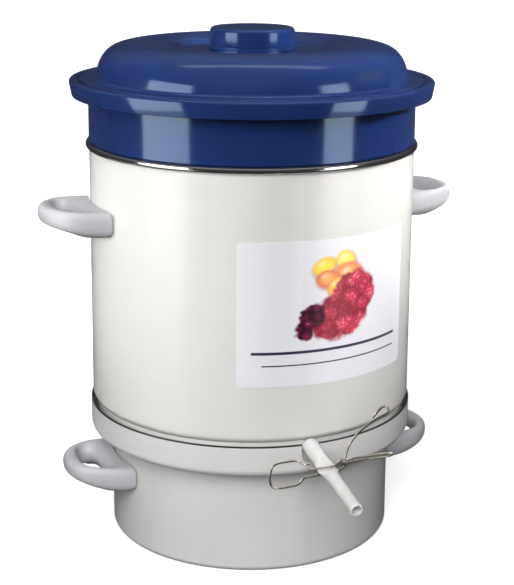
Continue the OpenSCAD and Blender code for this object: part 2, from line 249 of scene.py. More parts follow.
def hose_ring(centre, along, half_w, half_h, sides=40):
    """Oval ring square to the route, in the upright plane of the outlet before it is turned."""
    up = np.array((-along[2], 0, along[0]))
    side = np.array((0, 1, 0))
    turns = [2 * math.pi * k / sides for k in range(sides)]
    return [tuple(centre + half_w * math.cos(a) * side + half_h * math.sin(a) * up) for a in turns]


def make_hose():
    """Soft tube, pressed flat where the clamp holds it, with an open end."""
    steps, taper = 6, 8
    line = spline([(r, 0, z) for r, z in HOSE_ROUTE], steps)
    press = [float(v[0]) for v in spline([(p, 0) for p in HOSE_PRESS], steps)]
    outer, inner = [], []
    clamp_r = HOSE_ROUTE[6][0]
    for i, centre in enumerate(line):
        along = line[min(i + 1, len(line) - 1)] - line[max(i - 1, 0)]
        along /= np.linalg.norm(along)
        # The hose stands a little wider where it is pushed over the spout
        swell = HOSE_SWELL * min(max((clamp_r - centre[0]) / taper, 0), 1)
        half_w = (HOSE_D + swell + press[i] * (FLAT_W - HOSE_D)) / 2
        half_h = (HOSE_D + swell + press[i] * (FLAT_H - HOSE_D)) / 2
        outer.append(hose_ring(centre, along, half_w, half_h))
        inner.append(hose_ring(centre, along, half_w - HOSE_WALL, half_h - HOSE_WALL * 0.95))
    end = line[-1] - line[-2]
    end /= np.linalg.norm(end)
    lips = []
    for a in (30, 60, 90, 120, 150):
        turn = math.radians(a)
        r = HOSE_D / 2 - HOSE_WALL / 2 + HOSE_WALL / 2 * math.cos(turn)
        lips.append(hose_ring(line[-1] + (math.sin(turn) - 1) * 0.5 * end, end, r, r))
    rings = outer[:-1] + lips + inner[:-1][::-1]
    points, faces = tube([turned(ring, OUTLET_TURN) for ring in rings], closed=True)
    hose = merged("hose_tube", [(points, faces)], 60)
    path = [[c * MM for c in turned([tuple(p)], OUTLET_TURN)[0]] for p in line]
    return hose, path


hose, hose_path = make_hose()


# ---------------------------------------------------------------- clamp wires
WIRE_D, LEVER_PLANE, PIVOT = 2.0, 2.8, (13, 7)
TIP_SHRINK, TIP_OUT = 0.45, 0.35
FRAME_WIRE = [(-17.5, 8.6), (-23.5, 9.2), (-30.5, 13.8), (-40, 14.4), (-49, 13.8), (-54, 10.5),
              (-55.5, 0), (-53, -9.5), (-46, -12.6), (-34, -12.3), (-27, -11), (-22, -5.6),
              (-14, -4.4), (0, -4.2), (9, -3.8), (14.5, -0.6), (19, 3.8), (28, 5.4), (44, 5.6),
              (61, 5.4), (64.2, 7.1), (61, 8.8), (44, 9), (28, 8.6), (20, 7.2), (16, 6.8)]
LEVER_WIRE = [(-19.8, 5.4), (-12, 4.6), (0, 4.3), (5, 4.9), (9, 7), (12, 9.4), (15, 11.2),
              (16.2, 17), (18.5, 26), (24, 34.5), (33, 43), (44.5, 50.5), (51, 53), (53, 57.2),
              (49.5, 61), (44.6, 59), (38.2, 50.6)]


def at_clamp(points):
    """Points from the clamp's plane, x across the hose, y up and z outwards, to the row frame."""
    tilt = math.radians(HOSE_TILT)
    c, s = math.cos(tilt), math.sin(tilt)
    r0, z0 = HOSE_ROUTE[6]
    return turned([(r0 + s * y + c * z, x, z0 + c * y - s * z) for x, y, z in points], OUTLET_TURN)


def wire(points, plane, steps=8, sides=16):
    """Round wire along a flat path in the clamp's plane, with domed ends."""
    line = spline([(x, y) for x, y in points], steps)
    rings = []
    for i, (x, y) in enumerate(line):
        dx, dy = line[min(i + 1, len(line) - 1)] - line[max(i - 1, 0)]
        long = math.hypot(dx, dy)
        dx, dy = dx / long, dy / long
        r = WIRE_D / 2
        ring = []
        for k in range(sides):
            a = 2 * math.pi * k / sides
            ring.append((x - dy * r * math.cos(a), y + dx * r * math.cos(a), plane + r * math.sin(a)))
        if i in (0, len(line) - 1):
            middle = np.array((x, y, plane))
            step = (-TIP_OUT if i == 0 else TIP_OUT) * np.array((dx, dy, 0))
            tip = [tuple(TIP_SHRINK * (np.array(p) - middle) + middle + step) for p in ring]
            rings += [tip, ring] if i == 0 else [ring, tip]
        else:
            rings.append(ring)
    points, faces = tube(rings)
    return at_clamp(points), faces


def eye(plane, r=2.1, steps=40, sides=16):
    """Loop of the wire round the pin."""
    rings = []
    for i in range(steps):
        a = 2 * math.pi * i / steps
        ring = []
        for k in range(sides):
            b = 2 * math.pi * k / sides
            reach = r + WIRE_D / 2 * math.cos(b)
            ring.append((PIVOT[0] + reach * math.cos(a), PIVOT[1] + reach * math.sin(a),
                         plane + WIRE_D / 2 * math.sin(b)))
        rings.append(ring)
    points, faces = tube(rings, closed=True)
    return at_clamp(points), faces


def make_clamp():
    """The clamp's frame and its lever, each with an eye round the pin."""
    frame_piece = merged("clamp_frame_wire", [wire(FRAME_WIRE, 0), eye(0)], 60)
    lever_piece = merged("clamp_lever_wire", [wire(LEVER_WIRE, LEVER_PLANE), eye(LEVER_PLANE)], 60)
    return frame_piece, lever_piece


clamp_frame, clamp_lever = make_clamp()
clamp_pin = frame["nodes"]["clamp_pin"]


# ---------------------------------------------------------------- vessels
# The collar's top edge and a band inside it are painted dark: a trim on the edge, and painted shade
# of the gap inside the collar
NOTCH_DEPTH, EDGE_BAND, TRIM_AND_SHADE_BAND, INNER_BAND = 19, 1.5, 1.3, 8


def make_pan():
    """Stepped pan whose collar has a round-bottomed notch for the hose."""
    under = SHELF_Z - WALL
    base_round, collar_round, shelf_round = 6, 8, 3
    inner, edge = collar_round - WALL, WALL / 2
    profile = ([(0, WALL), (0, 0), (60, 0), (110, 0)]
               + arc(PAN_R - base_round, base_round, base_round, -90, 0, 14)
               + arc(PAN_R + shelf_round, under - shelf_round, shelf_round, 180, 90)
               + arc(COLLAR_R - collar_round, under + collar_round, collar_round, -90, 0, 14)
               + [(COLLAR_R, PAN_H - EDGE_BAND)]
               + arc(COLLAR_R - edge, PAN_H - edge, edge, 0, 180, 8)
               + [(COLLAR_R - WALL, PAN_H - INNER_BAND)]
               + arc(COLLAR_R - collar_round, under + collar_round, inner, 0, -90, 14)
               + arc(PAN_R + shelf_round, under - shelf_round, shelf_round + WALL, 90, 180)
               + arc(PAN_R - base_round, base_round, base_round - WALL, 0, -90, 14))
    pan = lathe("pan_shell", profile)
    half, past = NOTCH_W / 2, 12
    outline = arc(0, PAN_H - NOTCH_DEPTH + half, half, 180, 360, 18)
    outline += [(half, PAN_H + past), (-half, PAN_H + past)]
    flat, faces = prism(outline, COLLAR_R - 10, COLLAR_R + 10)
    points = turned([(z, x, y) for x, y, z in flat], OUTLET_TURN)
    cut(pan, merged("cutter", [(points, faces)]))
    # Dark trim on the collar's edge, and painted gap shade on the band inside it
    mark_trim_and_gap_shade(pan)
    return pan


def mark_trim_and_gap_shade(pan):
    """Gives the collar's top edge and the band just inside it the second, dark material: a trim on
    the edge and, on the band inside, painted shade of the gap between the collar and the kettle's
    foot.
    """
    for face in pan.data.polygons:
        x, y, z = face.center / MM
        inside = math.hypot(x, y) < COLLAR_R - WALL + 0.1 and z > PAN_H - INNER_BAND - 1
        face.material_index = int(z > PAN_H - TRIM_AND_SHADE_BAND or inside)


def make_kettle():
    """Tall wall with a narrower foot, and a floor that slopes to the outlet."""
    corner = 8
    corner_z = PAN_H + 9
    bend = math.degrees(math.acos((FOOT_R - KETTLE_R + corner) / corner))
    knee = corner_z - corner * math.sin(math.radians(bend))
    stand = SHELF_Z + GAP
    slope = 2.5
    profile = ([(FOOT_R - 3.5, stand)]
               + arc(FOOT_R - WALL, stand + WALL, WALL, -90, 0, 6)
               + [(FOOT_R, knee)]
               + arc(KETTLE_R - corner, corner_z, corner, -bend, 0, 14)
               + [(KETTLE_R, KETTLE_TOP), (KETTLE_R - WALL, KETTLE_TOP)]
               + arc(KETTLE_R - corner, corner_z, corner - WALL, 0, -bend, 14)
               + [(FOOT_R - WALL, knee), (FOOT_R - WALL, FLOOR_Z - 1), (FOOT_R - 4, FLOOR_Z - slope),
                  (60, FLOOR_Z), (CHIMNEY_BASE_R, FLOOR_Z), (CHIMNEY_BASE_R, FLOOR_Z - WALL),
                  (60, FLOOR_Z - WALL), (FOOT_R - 4, FLOOR_Z - slope - WALL),
                  (FOOT_R - WALL, FLOOR_Z - slope - WALL), (FOOT_R - WALL, stand + WALL),
                  (FOOT_R - 3.5, stand + WALL)])
    return lathe("kettle_shell", profile)


def make_rim():
    """Rolled bead over the kettle's top edge."""
    centre = KETTLE_R + 0.2
    middle = RIM_TOP - BEAD_R
    ring = arc(centre, middle, BEAD_R, -75, 235, 44)
    return lathe("kettle_rim", ring + [(KETTLE_R - WALL - 0.02, KETTLE_TOP + 0.02),
                                       (KETTLE_R + 0.02, KETTLE_TOP + 0.02)])


def make_chimney():
    """Steam cone with a flange on the kettle's floor and a small lip."""
    skin = 1.2
    lip, flange = CHIMNEY_TOP_R + skin + 1, CHIMNEY_BASE_R + 9
    return lathe("chimney_shell",
                 [(CHIMNEY_BASE_R - skin, FLOOR_Z), (flange, FLOOR_Z),
                  (flange, FLOOR_Z + skin), (CHIMNEY_BASE_R + 1, FLOOR_Z + skin),
                  (CHIMNEY_TOP_R + skin, CHIMNEY_TOP - 3), (lip, CHIMNEY_TOP - 2), (lip, CHIMNEY_TOP),
                  (CHIMNEY_TOP_R, CHIMNEY_TOP), (CHIMNEY_TOP_R, CHIMNEY_TOP - 3)], 160)


def make_basket():
    """Perforated basket whose collar ends in a drip ring."""
    floor_round, top_r, foot = 6, 150, 140
    step_z = RIM_TOP + GAP
    ledge = BRIM_Z - 2.8
    under = ledge - PLASTIC
    profile = ([(0, BASKET_FLOOR + 2), (0, BASKET_FLOOR)]
               + arc(foot - floor_round, BASKET_FLOOR + floor_round, floor_round, -90, 0)
               + [(top_r, step_z - 3), (top_r + 1, step_z), (BASKET_R - 0.8, step_z)]
               + arc(BASKET_R - 0.8, step_z + 0.8, 0.8, -90, 0, 5)[1:]
               + arc(BASKET_R + 2, under - 2, 2, 180, 90, 8)
               + arc(RING_R - 6.5, under - 2, 2, 90, 0, 8)
               + [(RING_R - 4.9, RING_Z)]
               + arc(RING_R - 3, RING_Z + 0.6, 0.6, -90, 0, 5)
               + [(RING_R - 2.2, RING_Z + 1.4)]
               + arc(RING_R - 3, RING_TOP - 3, 3, 2, 90, 12)
               + arc(RING_R - 6.5, RING_TOP - 1.5, 1.5, 90, 180, 8)
               + [(RING_R - 8, ledge), (BASKET_R - PLASTIC, ledge),
                  (BASKET_R - PLASTIC, step_z + PLASTIC), (top_r - 2, step_z + PLASTIC - 0.5)]
               + arc(foot - floor_round, BASKET_FLOOR + floor_round, floor_round - 2, 0, -90))
    basket = lathe("basket_shell", profile)
    slots, slot_r = 36, 1.75
    low, high = BASKET_FLOOR + 22, BASKET_FLOOR + 112
    shape = arc(0, high - slot_r, slot_r, 0, 180, 8) + arc(0, low + slot_r, slot_r, 180, 360, 8)
    flat, faces = prism(shape, foot - 15, foot + 15)
    parts = [(turned([(z, x, y) for x, y, z in flat], 360 * (i + 0.5) / slots), faces)
             for i in range(slots)]
    hole_r, rings, ring_step, holes = 3, 4, 29, 8
    for ring in range(1, rings + 1):
        for i in range(ring * holes):
            outline = arc(ring * ring_step, 0, hole_r, 0, 360, 20)[:-1]
            points, loops = prism(outline, BASKET_FLOOR - 1, BASKET_FLOOR + 3)
            parts.append((turned(points, 360 * i / (ring * holes)), loops))
    cut(basket, merged("cutter", parts))
    return basket


def make_lid():
    """Dome with a dish for the knob, a flat brim and a skirt inside the basket's collar."""
    skin, stem = PLASTIC, 2.8
    skirt_out, skirt_in, skirt_z = 155, 152.5, BRIM_Z - 11
    top = LID_FLOOR
    profile = ([(stem, top - skin), (stem, top), (40, top), (72, top)]
               + curve((72, top), (75, top), (75, top + 3), (78, top + 3.6), 10)
               + curve((78, top + 3.6), (92, top + 7.6), (120, top + 9.6), (135.5, top + 2.8), 30)
               + curve((135.5, top + 2.8), (144.5, top - 1.4), (150.5, top - 11),
                       (152.3, BRIM_Z + 3), 26)
               + arc(155.3, BRIM_Z + 3, 3, 180, 270, 8)
               + arc(BRIM_R - skin / 2, BRIM_Z - skin / 2, skin / 2, 90, -90, 10)
               + [(skirt_out, BRIM_Z - skin), (skirt_out, skirt_z), (skirt_in, skirt_z),
                  (skirt_in, BRIM_Z - skin), (149.8, BRIM_Z + 1)]
               + curve((149.8, BRIM_Z + 1), (149, top - 11.5), (142, top - 3.8), (134.2, top + 0.4))
               + curve((134.2, top + 0.4), (119.5, top + 7), (93, top + 5.2), (79, top + 1.2))
               + curve((79, top + 1.2), (76.5, top + 0.5), (77, top - skin), (73, top - skin), 10)
               + [(40, top - skin)])
    return lathe("lid_dome", profile)


def make_knob():
    """Hollow cap with a boss for the screw and a small foot bead."""
    top = KNOB_Z + KNOB_H
    bore, boss = 2.6, 8
    profile = ([(bore, KNOB_Z), (boss, KNOB_Z), (boss, top - 3.5)]
               + arc(KNOB_R - 7, top - 7.5, 4, 90, 0, 8)
               + [(KNOB_R - 2.2, KNOB_Z), (KNOB_R + 0.3, KNOB_Z)]
               + arc(KNOB_R + 0.2, KNOB_Z + 0.7, 0.7, -80, 0, 4)
               + [(KNOB_R + 0.6, KNOB_Z + 3.2), (KNOB_R - 0.5, KNOB_Z + 3.6),
                  (KNOB_R - 0.5, KNOB_Z + 4.4), (KNOB_R, KNOB_Z + 4.8)]
               + arc(KNOB_R - 4, top - 4, 3.8, 0, 90, 14)
               + [(26, top - 0.35), (14, top - 0.6), (0, top - 0.8), (0, top - 7), (bore, top - 7)])
    return lathe("knob_cap", profile, 192)


pan, kettle, rim, chimney = make_pan(), make_kettle(), make_rim(), make_chimney()
basket, lid, knob = make_basket(), make_lid(), make_knob()


# ---------------------------------------------------------------- handles
def signed_pow(x, p):
    """Power that keeps the sign, for rounded rectangles."""
    return math.copysign(abs(x) ** p, x)


def handle_ring(r, t, sides):
    """One slice through the moulded loop, from the finger hole's edge to the outline."""
    round_out, round_hole, back, root = 2 / 2.25, 2 / 2.4, 6, 26
    hole_x, hole_rx, hole_ry, thinning, rise = 28.5, 10.5, 30, 4.1, 5.5
    c, s = math.cos(t), math.sin(t)
    round_slice = 2 / (2.6 if c > 0 else 2 + 0.6 * abs(s))
    out = max(c, 0)
    reach = HANDLE_REACH + back if c > 0 else root
    outer = np.array((r - back + reach * signed_pow(c, round_out),
                      HANDLE_HALF_W * signed_pow(s, round_out)))
    hole = np.array((r + hole_x + hole_rx * signed_pow(c, round_hole),
                     hole_ry * signed_pow(s, round_hole)))
    half_h, lift = HANDLE_H / 2 - thinning * out, rise * out
    ring = []
    for k in range(sides):
        q = 2 * math.pi * k / sides
        p = (outer + hole) / 2 + (outer - hole) / 2 * signed_pow(math.cos(q), round_slice)
        ring.append((p[0], p[1], lift + half_h * signed_pow(math.sin(q), round_slice)))
    return ring


def make_handle(name, r, turn, z):
    """Loop that fits the wall's curve, with slots for the bracket's tabs and screw wells."""
    slices, sides, tall = 180, 64, 40
    bolt_y, well_out, well_r, well_low, well_high = 36, 11, 3.9, 20, 8
    slot_in, slot_out, slot_half_w, slot_half_h = 10, 16.2, 6.2, 1.2
    rings = [handle_ring(r, 2 * math.pi * (i + 0.5) / slices, sides) for i in range(slices)]
    points, faces = tube(rings, closed=True)
    points = [(x, y, h + z) for x, y, h in turned(points, turn)]
    handle = merged(name, [(points, faces)], 40)
    core_r = r + BRACKET_T
    core = lathe("cutter", [(0, z - tall), (core_r, z - tall), (core_r, z + tall), (0, z + tall)])
    cut(handle, core, 40)
    tabs = []
    for side in (-1, 1):
        y = side * bolt_y
        well = arc(r + well_out, y, well_r, 0, 360, 32)[:-1]
        pts, loops = prism(well, z - well_low, z - well_high)
        tabs.append((turned(pts, turn), loops))
        slot = [(r - slot_in, y - slot_half_w), (r + slot_out, y - slot_half_w),
                (r + slot_out, y + slot_half_w), (r - slot_in, y + slot_half_w)]
        pts, loops = prism(slot, z - slot_half_h, z + slot_half_h)
        tabs.append((turned(pts, turn), loops))
    cut(handle, merged("cutter", tabs), 40)
    return handle


SIDES = (("right", HANDLE_TURN), ("left", HANDLE_TURN + 180))
kettle_handles = [make_handle(f"kettle_loop_{side}", KETTLE_R, turn, KETTLE_HANDLE_Z)
                  for side, turn in SIDES]
pan_handles = [make_handle(f"pan_loop_{side}", PAN_R, turn, PAN_HANDLE_Z) for side, turn in SIDES]


# ---------------------------------------------------------------- label
def make_label():
    """Thin film on the kettle with rounded corners and its own flat coordinates in millimetres."""
    columns, rows, corner = 120, 40, 3
    r_in, r_out = KETTLE_R + 0.03, LABEL_R
    width = math.radians(LABEL_SWEEP) * r_out
    vertices, faces, flat = [], [], []
    for r in (r_in, r_out):
        for i in range(columns + 1):
            u = width * i / columns
            inset = max(corner - min(u, width - u), 0)
            trim = corner - math.sqrt(max(corner ** 2 - inset ** 2, 0))
            for j in range(rows + 1):
                v = trim + (LABEL_H - 2 * trim) * j / rows
                a = math.radians(LABEL_TURN) + u / r_out
                vertices.append((r * math.cos(a), r * math.sin(a), LABEL_Z + v))
                flat.append((u, v))
    side = (columns + 1) * (rows + 1)

    def at(s, i, j):
        return s * side + i * (rows + 1) + j

    for i in range(columns):
        for j in range(rows):
            faces.append([at(1, i, j), at(1, i + 1, j), at(1, i + 1, j + 1), at(1, i, j + 1)])
            faces.append([at(0, i, j), at(0, i, j + 1), at(0, i + 1, j + 1), at(0, i + 1, j)])
        for j in (0, rows):
            faces.append([at(0, i, j), at(0, i + 1, j), at(1, i + 1, j), at(1, i, j)])
    for i in (0, columns):
        for j in range(rows):
            faces.append([at(0, i, j), at(1, i, j), at(1, i, j + 1), at(0, i, j + 1)])
    piece = new_object("label_film", vertices, faces)
    face_out(piece)
    layer = piece.data.uv_layers.new(name="flat_mm")
    for loop in piece.data.loops:
        layer.data[loop.index].uv = flat[loop.vertex_index]
    return piece


label = make_label()


# ---------------------------------------------------------------- materials
# Most of a noise texture's values lie between these two
NOISE_SWING = (0.3, 0.7)


class Shader:
    """A small builder for one node material."""

    def __init__(self, name):
        self.material = bpy.data.materials.new(name)
        self.material.use_nodes = True
        self.tree = self.material.node_tree
        self.bsdf = next(n for n in self.tree.nodes if n.type == "BSDF_PRINCIPLED")
        self.place = self.node("ShaderNodeTexCoord").outputs["Object"]

    def node(self, kind, **values):
        """New node; each value goes to its setting or input of that name."""
        made = self.tree.nodes.new(kind)
        for key, value in values.items():
            if hasattr(made, key) and key not in made.inputs:
                setattr(made, key, value)
            else:
                self.feed(made.inputs[key], value)
        return made

    def feed(self, socket, value):
        """Links another node's output, or sets a fixed value."""
        if isinstance(value, bpy.types.NodeSocket):
            self.tree.links.new(value, socket)
        else:
            socket.default_value = value

    def set(self, **values):
        """Feeds the main shader; an underscore stands for a space in an input's name."""
        for key, value in values.items():
            self.feed(self.bsdf.inputs[key.replace("_", " ")], value)

    def noise(self, size, detail=2.0, stretch=(1, 1, 1)):
        """Noise whose features are about size metres across."""
        mapping = self.node("ShaderNodeMapping", Vector=self.place, Scale=stretch)
        return self.node("ShaderNodeTexNoise", Vector=mapping.outputs["Vector"], Scale=1 / size,
                         Detail=detail).outputs["Fac"]

    def span(self, value, low, high, to_low, to_high):
        """Value moved from one range to another, and kept inside it."""
        made = self.node("ShaderNodeMapRange")
        for key, v in zip(("Value", "From Min", "From Max", "To Min", "To Max"),
                          (value, low, high, to_low, to_high)):
            self.feed(made.inputs[key], v)
        return made.outputs["Result"]

    def wander(self, low, high, size, detail):
        """Value that drifts between two levels over about size metres."""
        return self.span(self.noise(size, detail), *NOISE_SWING, low, high)

    def mix(self, share, a, b):
        """Colour that goes from a to b with the share."""
        made = self.node("ShaderNodeMix", data_type="RGBA")
        self.feed(made.inputs[0], share)
        self.feed(made.inputs[6], a if isinstance(a, bpy.types.NodeSocket) else (*a, 1))
        self.feed(made.inputs[7], b if isinstance(b, bpy.types.NodeSocket) else (*b, 1))
        return made.outputs[2]

    def math(self, kind, a, b=0.0):
        """Result of one sum on two values."""
        made = self.node("ShaderNodeMath", operation=kind)
        self.feed(made.inputs[0], a)
        self.feed(made.inputs[1], b)
        return made.outputs[0]

    def bump(self, height, depth, strength=1.0, under=None):
        """Bump of a real depth in metres, laid over another bump if one is given."""
        made = self.node("ShaderNodeBump", Height=height, Distance=depth, Strength=strength)
        if under is not None:
            self.feed(made.inputs["Normal"], under)
        return made.outputs["Normal"]


def enamel(name, dark, light, rough):
    """Vitreous enamel: slow waves, fine orange peel and a few pin-head specks."""
    s = Shader(name)
    tone = s.mix(s.wander(0, 1, 0.09, 3), dark, light)
    cells = s.node("ShaderNodeTexVoronoi", Vector=s.place, Scale=1 / 0.022)
    speck = s.math("MULTIPLY", s.span(cells.outputs["Distance"], 0.018, 0.030, 1, 0),
                   s.span(s.noise(0.05, 1), 0.60, 0.62, 0, 0.5))
    waves = s.bump(s.noise(0.035, 1), 0.0006, 0.22)
    peel = s.bump(s.noise(0.006, 2, (1, 1, 2.2)), 0.00022, 0.4, waves)
    s.set(Base_Color=s.mix(speck, tone, (0.30, 0.28, 0.25)),
          Roughness=s.wander(rough * 0.85, rough * 1.2, 0.02, 3), IOR=1.42, Normal=peel)
    return s.material


def trim_and_gap_shade_enamel():
    """Dark ground coat left bare along the collar's edge, which also serves as painted shade of the
    gap inside the collar.
    """
    s = Shader("enamel_trim_and_gap_shade")
    tone = s.mix(s.wander(0, 1, 0.01, 3), (0.012, 0.012, 0.014), (0.025, 0.024, 0.026))
    s.set(Base_Color=tone, Roughness=s.wander(0.30, 0.45, 0.004, 3), IOR=1.5,
          Normal=s.bump(s.noise(0.002, 3), 0.00006, 0.4))
    return s.material


def blue_plastic():
    """Deep blue moulded plastic with a faint skin texture and hairline wear."""
    s = Shader("plastic_blue")
    tone = s.mix(s.wander(0, 1, 0.06, 3), (0.0095, 0.023, 0.105), (0.012, 0.030, 0.128))
    skin = s.bump(s.noise(0.0022, 3), 0.00005, 0.45)
    scratches = s.span(s.noise(0.0016, 3, (1, 0.06, 1)), 0.66, 0.70, 0, 1)
    hairline = s.bump(scratches, 0.00003, 0.25, skin)
    s.set(Base_Color=tone, Roughness=s.wander(0.09, 0.15, 0.012, 4),
          IOR=1.70, Specular_Tint=(0.56, 0.78, 1.0, 1), Coat_Weight=0.14, Coat_Roughness=0.05,
          Normal=hairline)
    return s.material


def grey_plastic():
    """Satin grey handle plastic with a fine spark-eroded grain."""
    s = Shader("plastic_grey")
    tone = s.mix(s.wander(0, 1, 0.03, 3), (0.45, 0.45, 0.475), (0.51, 0.51, 0.53))
    grain = s.bump(s.noise(0.0009, 3), 0.00006, 0.5)
    flow = s.bump(s.noise(0.012, 2), 0.0003, 0.15, grain)
    s.set(Base_Color=tone, Roughness=s.wander(0.34, 0.46, 0.008, 3), IOR=1.47, Normal=flow)
    return s.material


def chrome():
    """Polished steel with faint rolling lines."""
    s = Shader("steel_polished")
    lines = s.noise(0.0012, 3, (1, 1, 9))
    s.set(Base_Color=s.mix(lines, (0.66, 0.65, 0.63), (0.76, 0.755, 0.74)), Metallic=1.0,
          Roughness=s.span(lines, *NOISE_SWING, 0.07, 0.15),
          Normal=s.bump(s.noise(0.02, 2), 0.0004, 0.2))
    return s.material


def brushed(name, dark, light):
    """Satin steel for brackets, spout and screws."""
    s = Shader(name)
    lines = s.noise(0.0008, 4, (1, 1, 22))
    s.set(Base_Color=s.mix(lines, dark, light), Metallic=1.0,
          Roughness=s.span(lines, *NOISE_SWING, 0.29, 0.42), Normal=s.bump(lines, 0.00004, 0.4))
    return s.material


def spring_wire():
    """Drawn wire, bright with a warm cast and a little tarnish."""
    s = Shader("wire_bright")
    tarnish = s.span(s.noise(0.006, 4), 0.42, 0.62, 0, 1)
    s.set(Base_Color=s.mix(tarnish, (0.86, 0.80, 0.72), (0.66, 0.58, 0.49)), Metallic=1.0,
          Roughness=s.wander(0.16, 0.26, 0.002, 3),
          Normal=s.bump(s.noise(0.0007, 2), 0.00003, 0.4))
    return s.material


def silicone():
    """Milky silicone: light goes in and comes out softened."""
    s = Shader("silicone_milky")
    tone = s.mix(s.wander(0, 1, 0.01, 3), (0.70, 0.70, 0.68), (0.78, 0.78, 0.76))
    s.set(Base_Color=tone, Roughness=s.wander(0.30, 0.42, 0.004, 3), IOR=1.41,
          Subsurface_Weight=0.55, Subsurface_Radius=(1.0, 0.95, 0.85), Subsurface_Scale=0.004,
          Transmission_Weight=0.12, Normal=s.bump(s.noise(0.0015, 3), 0.00004, 0.4))
    return s.material


class Print:
    """Draws shapes one over another on the label's flat coordinates, in millimetres."""

    def __init__(self, shader, paper):
        self.s, self.colour = shader, paper
        self.at = shader.node("ShaderNodeUVMap", uv_map="flat_mm").outputs["UV"]

    def oval(self, x, y, rx, ry, turn=0.0, soft=0.12):
        """Share that is 1 inside the oval and 0 outside, and the distance from its middle."""
        s = self.s
        mapping = s.node("ShaderNodeMapping", vector_type="TEXTURE", Vector=self.at,
                         Location=(x, y, 0), Rotation=(0, 0, math.radians(turn)), Scale=(rx, ry, 1))
        far = s.node("ShaderNodeVectorMath", operation="LENGTH")
        s.feed(far.inputs[0], mapping.outputs["Vector"])
        far = far.outputs["Value"]
        return s.span(far, 1 - soft, 1, 1, 0), far

    def bar(self, x, y, half_w, half_h, colour):
        """Straight rule with square ends."""
        s = self.s
        split = s.node("ShaderNodeSeparateXYZ", Vector=self.at)
        across = s.math("ABSOLUTE", s.math("SUBTRACT", split.outputs["X"], x))
        up = s.math("ABSOLUTE", s.math("SUBTRACT", split.outputs["Y"], y))
        soft = 0.3
        share = s.math("MULTIPLY", s.span(across, half_w - soft, half_w, 1, 0),
                       s.span(up, half_h - soft, half_h, 1, 0))
        self.lay(share, colour)

    def lay(self, share, colour):
        """Puts a colour over the page where the share is 1."""
        self.colour = self.s.mix(share, self.colour, colour)


def label_film():
    """White film printed with a heap of fruit and two plain rules."""
    s = Shader("film_printed")
    paper = s.mix(s.wander(0, 1, 0.02, 2), (0.725, 0.725, 0.755), (0.735, 0.735, 0.765))
    page = Print(s, paper)
    width = math.radians(LABEL_SWEEP) * LABEL_R
    # Yellow and orange fruit at the top, each on a soft shadow of its own
    for x, y, rx, ry, turn, light, dark in (
            (82, 111, 14, 9, 20, (0.96, 0.74, 0.08), (0.86, 0.50, 0.04)),
            (105, 115, 12, 10, -14, (0.96, 0.80, 0.20), (0.86, 0.54, 0.06)),
            (108, 102, 18, 12, 0, (0.92, 0.46, 0.16), (0.72, 0.16, 0.07)),
            (86, 99, 14, 9, 0, (0.88, 0.40, 0.12), (0.66, 0.12, 0.06)),
            (96, 91, 12, 9, 30, (0.95, 0.70, 0.08), (0.80, 0.36, 0.03))):
        shade, _ = page.oval(x + 1, y - 2, rx + 2, ry + 2, turn, 0.35)
        page.lay(s.math("MULTIPLY", shade, 0.7), (0.45, 0.10, 0.03))
        share, far = page.oval(x, y, rx, ry, turn, 0.24)
        page.lay(share, s.mix(s.span(far, 0.2, 1.0, 0, 1), light, dark))
        shine, _ = page.oval(x - 3, y + 3, 6, 3.4, 20, 1.0)
        page.lay(s.math("MULTIPLY", shine, 0.35), (1, 0.97, 0.85))
    # The berries' outlines are uneven, so their coordinates drift by up to 10 mm
    ripple = s.node("ShaderNodeTexNoise", Vector=page.at, Scale=0.11, Detail=3)
    drift = s.node("ShaderNodeVectorMath", operation="MULTIPLY_ADD")
    s.feed(drift.inputs[0], ripple.outputs["Color"])
    s.feed(drift.inputs[1], (10, 10, 0))
    s.feed(drift.inputs[2], page.at)
    plain, page.at = page.at, drift.outputs["Vector"]
    # A heap of raspberries: round berries made of small drupelets, darker between berries
    heap = s.math("MAXIMUM", page.oval(120, 86, 28, 25, 20, 0.12)[0],
                  page.oval(105, 68, 35, 24, 12, 0.14)[0])
    berries = s.node("ShaderNodeTexVoronoi", Vector=page.at, Scale=1 / 14, Randomness=0.75)
    grains = s.node("ShaderNodeTexVoronoi", Vector=page.at, Scale=1 / 3.6, Randomness=0.6)
    pip, middle = grains.outputs["Distance"], berries.outputs["Distance"]
    body = s.mix(s.span(pip, 0.05, 0.62, 0, 1), (0.92, 0.20, 0.27), (0.52, 0.025, 0.07))
    body = s.mix(s.span(middle, 0.30, 0.68, 0, 0.85), body, (0.20, 0.004, 0.02))
    glint = s.math("MULTIPLY", s.span(pip, 0.0, 0.20, 1, 0), s.span(middle, 0.1, 0.5, 0.75, 0.1))
    page.lay(heap, s.mix(glint, body, (1.0, 0.66, 0.66)))
    # Dark berries at the lower left
    dark = s.math("MAXIMUM", page.oval(76, 70, 16, 12, 30, 0.16)[0],
                  page.oval(68, 58, 10, 11, 0, 0.20)[0])
    rounds = s.node("ShaderNodeTexVoronoi", Vector=page.at, Scale=1 / 8.5, Randomness=0.55)
    rim = rounds.outputs["Distance"]
    skin = s.mix(s.span(rim, 0.15, 0.65, 0, 1), (0.20, 0.012, 0.06), (0.02, 0.002, 0.01))
    page.lay(dark, s.mix(s.span(rim, 0.0, 0.16, 0.8, 0), skin, (0.86, 0.80, 0.95)))
    page.at = plain
    # Two plain rules below
    page.bar(width / 2, 32, width * 0.43, 1.5, (0.02, 0.022, 0.05))
    page.bar(width / 2 + 4, 20, width * 0.40, 0.8, (0.03, 0.03, 0.05))
    s.set(Base_Color=page.colour, Roughness=s.wander(0.29, 0.38, 0.006, 3), IOR=1.45)
    return s.material


def dress(pieces, material):
    """Gives pieces their first material, and the pieces made here their slot."""
    for piece in pieces:
        if len(piece.data.materials):
            piece.data.materials[0] = material
        else:
            piece.data.materials.append(material)


